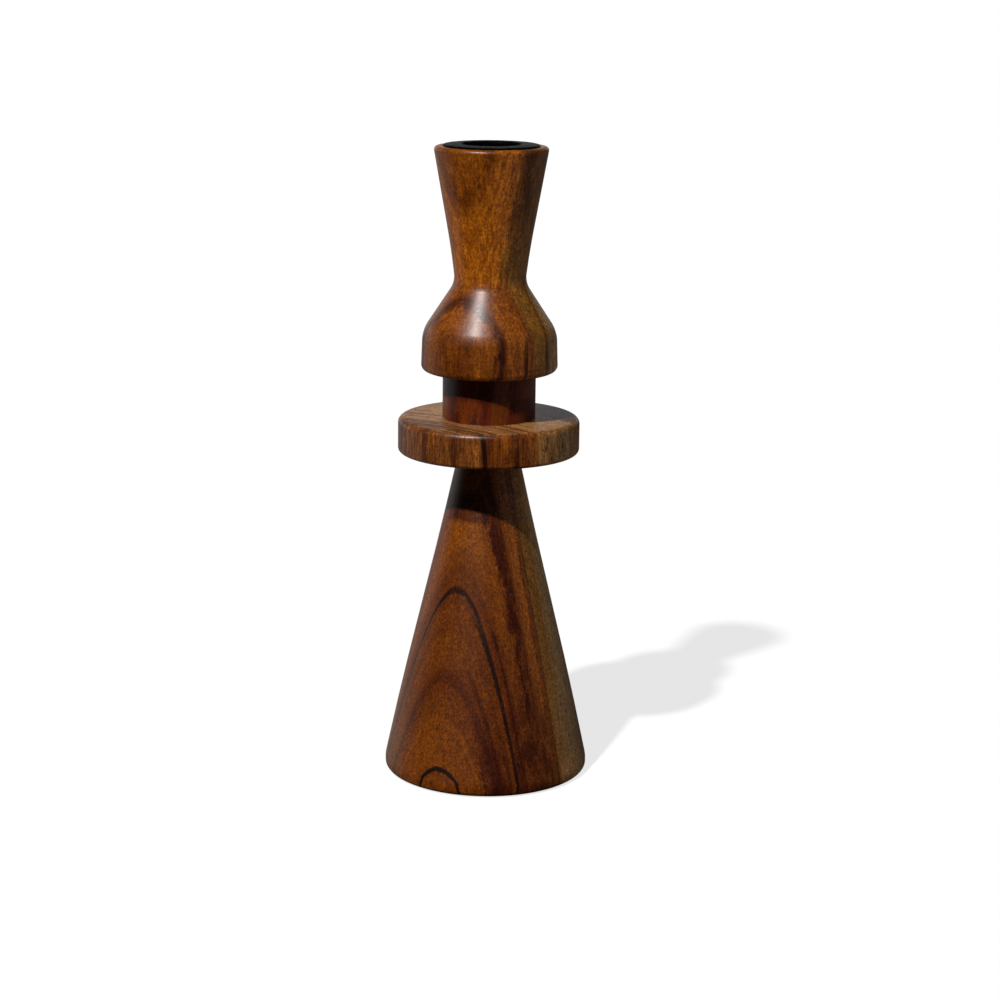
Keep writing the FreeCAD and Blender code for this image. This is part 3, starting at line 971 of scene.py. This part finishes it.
def build_floor(settings):
    """A pale floor that keeps a soft shadow and fades into the background."""
    bm = bmesh.new()
    bmesh.ops.create_grid(bm, x_segments=1, y_segments=1, size=settings.floor_width / 2)
    floor = new_object("floor", finished_mesh("floor", bm))
    material = bpy.data.materials.new("floor")
    s = fresh_shading(material)
    path = s.node("ShaderNodeLightPath").outputs
    place = s.node("ShaderNodeTexCoord").outputs["Object"]
    way = s.node("ShaderNodeSeparateXYZ", {0: place}).outputs
    mirrored = s.mirrored(path)
    glimpse = s.product(mirrored, s.fade(way[1], *GLOSS_DEPTH),
                        s.fade(way[0], *GLOSS_SIDE, settings.floor_gloss, settings.floor_gloss_right))
    seen = s.math("MAXIMUM", path["Is Camera Ray"], glimpse)
    shown = settings.floor_colour[:]
    bounce = s.product(s.fade(way[0], *BOUNCE_SIDE, settings.floor_bounce, settings.floor_bounce_right),
                       s.math("SUBTRACT", 1.0, mirrored))
    own = s.mix(path["Is Camera Ray"], bounce, shown)
    lit = shown[0] * (settings.key_strength * math.sin(settings.key_height)
                      + (settings.room_front + settings.room_right) * ROOM_ON_FLOOR)
    glow = s.node("ShaderNodeEmission", {"Color": WHITE, "Strength": s.math("MULTIPLY", seen, 1 - lit)}).outputs[0]
    pale = s.node("ShaderNodeBsdfDiffuse", {"Color": own}).outputs[0]
    both = s.node("ShaderNodeAddShader", {0: pale, 1: glow}).outputs[0]
    s.node("ShaderNodeOutputMaterial", {0: both})
    floor.data.materials.append(material)


def build_lamp(settings):
    """One soft lamp, high at the viewer's left."""
    side, height = settings.key_side, settings.key_height
    towards = Vector((-math.sin(side) * math.cos(height), -math.cos(side) * math.cos(height), math.sin(height)))
    data = bpy.data.lights.new("key", "SUN")
    data.angle = settings.key_softness
    data.energy = settings.key_strength * math.pi
    lamp = new_object("key", data)
    lamp.location = towards
    lamp.rotation_euler = towards.to_track_quat("Z", "Y").to_euler()


def build_camera(context, settings):
    """The photograph's viewing angle."""
    data = bpy.data.cameras.new("camera")
    data.sensor_width = SENSOR_WIDTH
    data.sensor_fit = "HORIZONTAL"
    data.lens = settings.focal_length
    data.shift_x = settings.framing
    camera = new_object("camera", data)
    tilt = Matrix.Rotation(math.pi / 2 - settings.camera_pitch, 4, "X")
    lean = Matrix.Rotation(settings.camera_roll, 4, "Z")
    place = Matrix.Translation((0, -settings.camera_distance, settings.camera_height))
    camera.matrix_world = place @ tilt @ lean
    context.scene.camera = camera


class CANDLE_OT_stage(Operator):
    """Builds the floor, the lamp, the world and the camera"""

    bl_idname = "candle.stage"
    bl_label = "Stage"

    def execute(self, context):
        settings = context.scene.candle_stage
        build_world(context, settings)
        build_floor(settings)
        build_lamp(settings)
        build_camera(context, settings)
        context.scene.view_settings.view_transform = "Standard"
        return {"FINISHED"}


class CANDLE_PT_sidebar(Panel):
    """Lists the pieces of the candle stand"""

    bl_idname = "CANDLE_PT_sidebar"
    bl_label = "Candle Stand"
    bl_space_type = "VIEW_3D"
    bl_region_type = "UI"
    bl_category = "Candle Stand"

    def draw(self, context):
        for operator in OPERATORS:
            self.layout.operator(operator.bl_idname)


GROUPS = {"candle_turning": TurningSizes, "candle_cup": CupSizes, "candle_wood": WoodColours,
          "candle_stage": StageSettings}
OPERATORS = (CANDLE_OT_foot, CANDLE_OT_collar, CANDLE_OT_neck, CANDLE_OT_bell, CANDLE_OT_cup, CANDLE_OT_dowel,
             CANDLE_OT_felt, CANDLE_OT_stage)


def register():
    for name, group in GROUPS.items():
        bpy.utils.register_class(group)
        setattr(bpy.types.Scene, name, PointerProperty(type=group))
    for cls in (*OPERATORS, CANDLE_PT_sidebar):
        bpy.utils.register_class(cls)


def unregister():
    for cls in reversed((*OPERATORS, CANDLE_PT_sidebar)):
        bpy.utils.unregister_class(cls)
    for name, group in reversed(GROUPS.items()):
        delattr(bpy.types.Scene, name)
        bpy.utils.unregister_class(group)


def main():
    register()
    for operator in OPERATORS:
        getattr(bpy.ops.candle, operator.bl_idname.split(".")[1])()
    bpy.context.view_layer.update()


if __name__ == "__main__":
    main()
